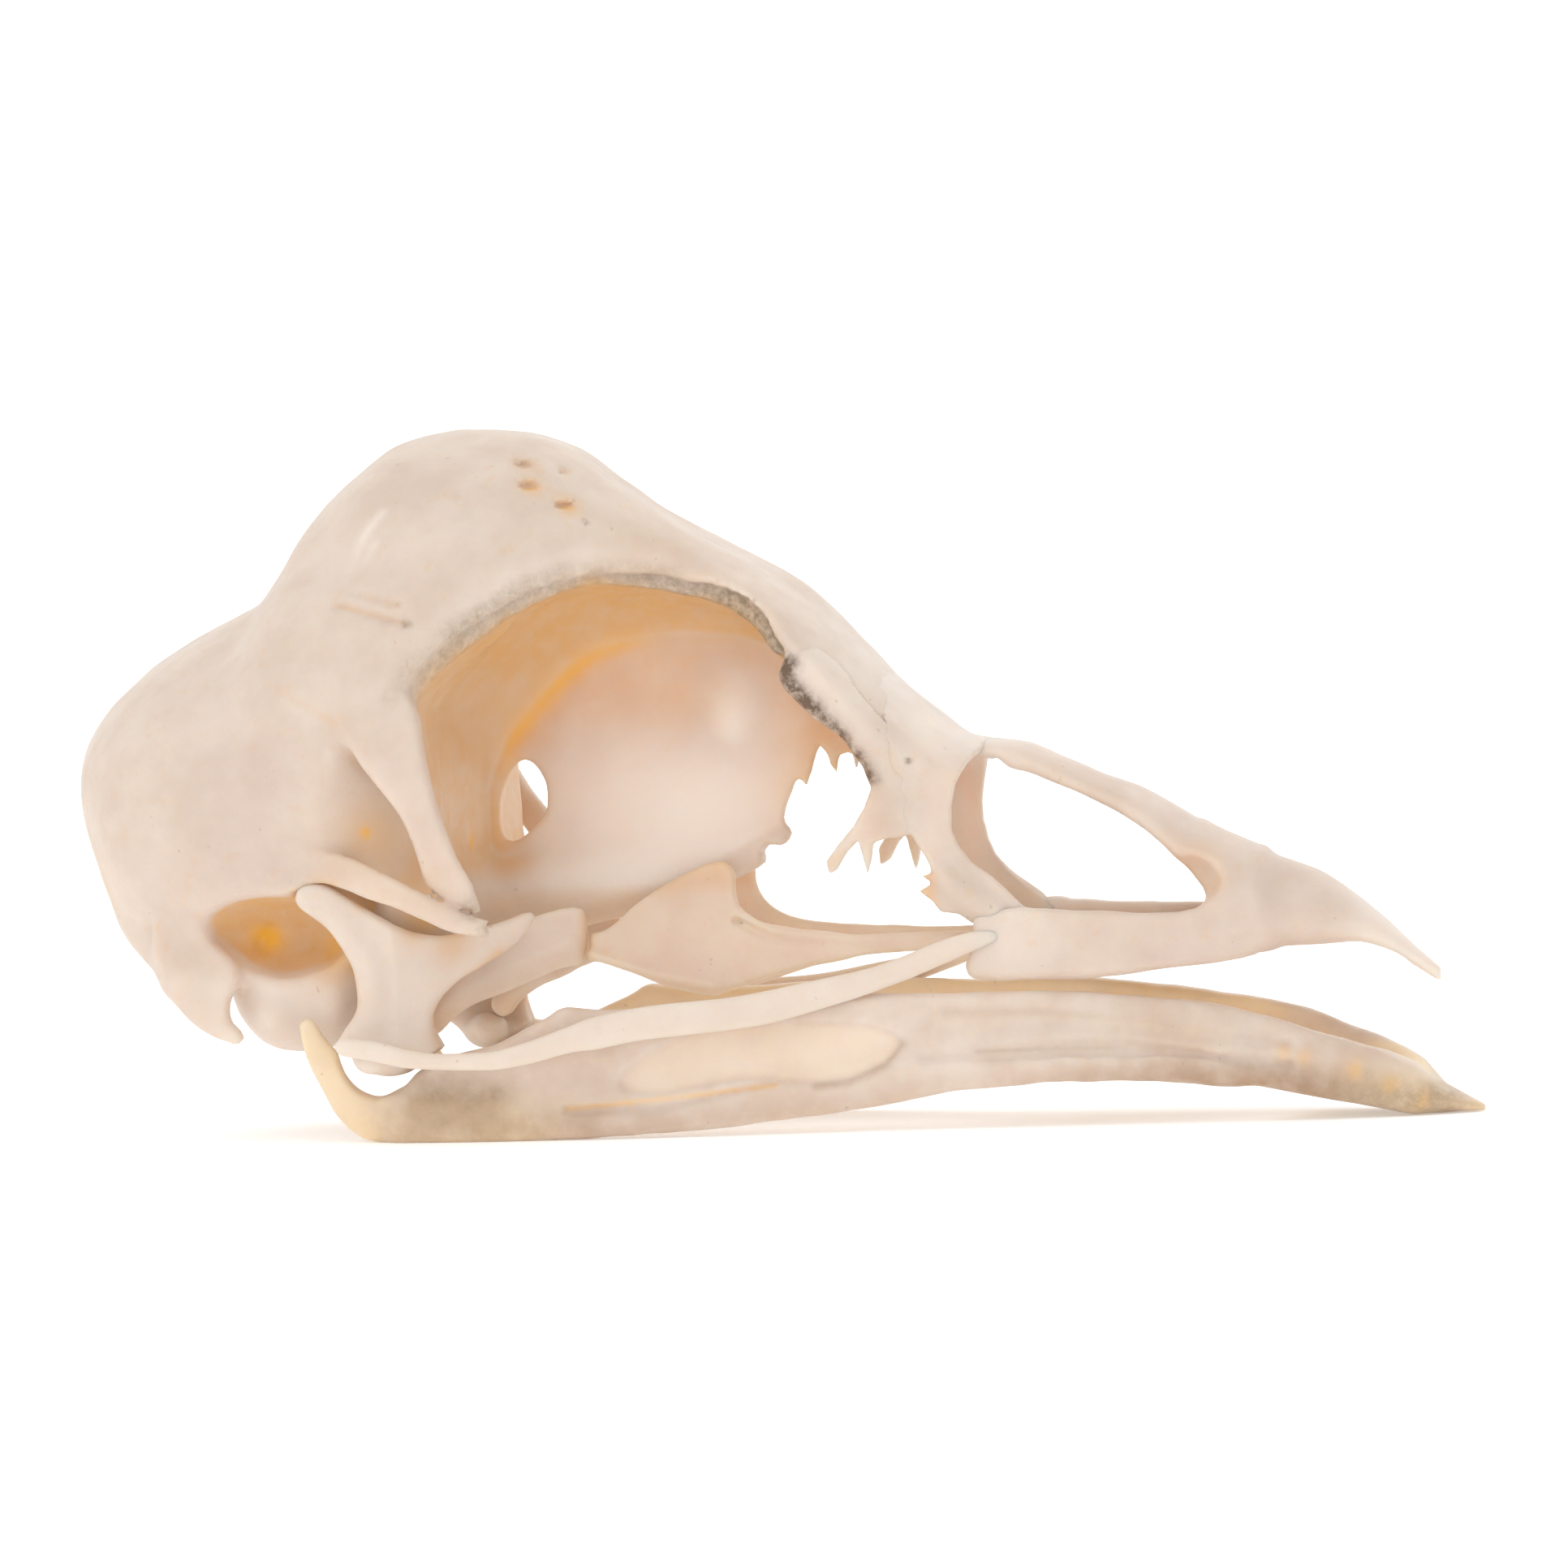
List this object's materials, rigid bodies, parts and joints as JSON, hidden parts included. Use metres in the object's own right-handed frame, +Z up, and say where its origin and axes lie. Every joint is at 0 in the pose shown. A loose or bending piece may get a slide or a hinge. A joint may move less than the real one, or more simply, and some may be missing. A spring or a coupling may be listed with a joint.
{
  "type": "chicken skull",
  "caption": "Dry hen's skull with its lower jaw for display: domed braincase, wide orbits, broken thin bones, thin cheek bars and a hooked open beak.",
  "frame": {"origin": "centre of the bounding box in X and Y, on the surface that the lower jaw rests on", "axes": "+X towards the tip of the beak, +Y towards the bird's left side, +Z up"},
  "size_m": [0.0726, 0.0274, 0.0361],
  "materials": {
    "ivory_bone": "matt dry bone, creamy ivory",
    "thin_bone": "matt dry bone, thin enough to glow amber",
    "jaw_bone": "satin dry bone, slightly waxy and tan"
  },
  "bodies": {
    "root": {"occiput": "ivory_bone", "frontal": "ivory_bone", "braincase_base": "ivory_bone", "interorbital_septum": "thin_bone", "lacrimal_right": "thin_bone", "lacrimal_left": "thin_bone", "palatine_right": "thin_bone", "palatine_left": "thin_bone", "upper_beak": "ivory_bone", "nasal_right": "ivory_bone", "nasal_left": "ivory_bone", "jugal_right": "ivory_bone", "jugal_left": "ivory_bone", "quadrate_right": "ivory_bone", "quadrate_left": "ivory_bone", "pterygoid_right": "ivory_bone", "pterygoid_left": "ivory_bone", "mandible_right": "jaw_bone", "mandible_left": "jaw_bone", "mandible_tip": "jaw_bone"}
  },
  "joints": []
}
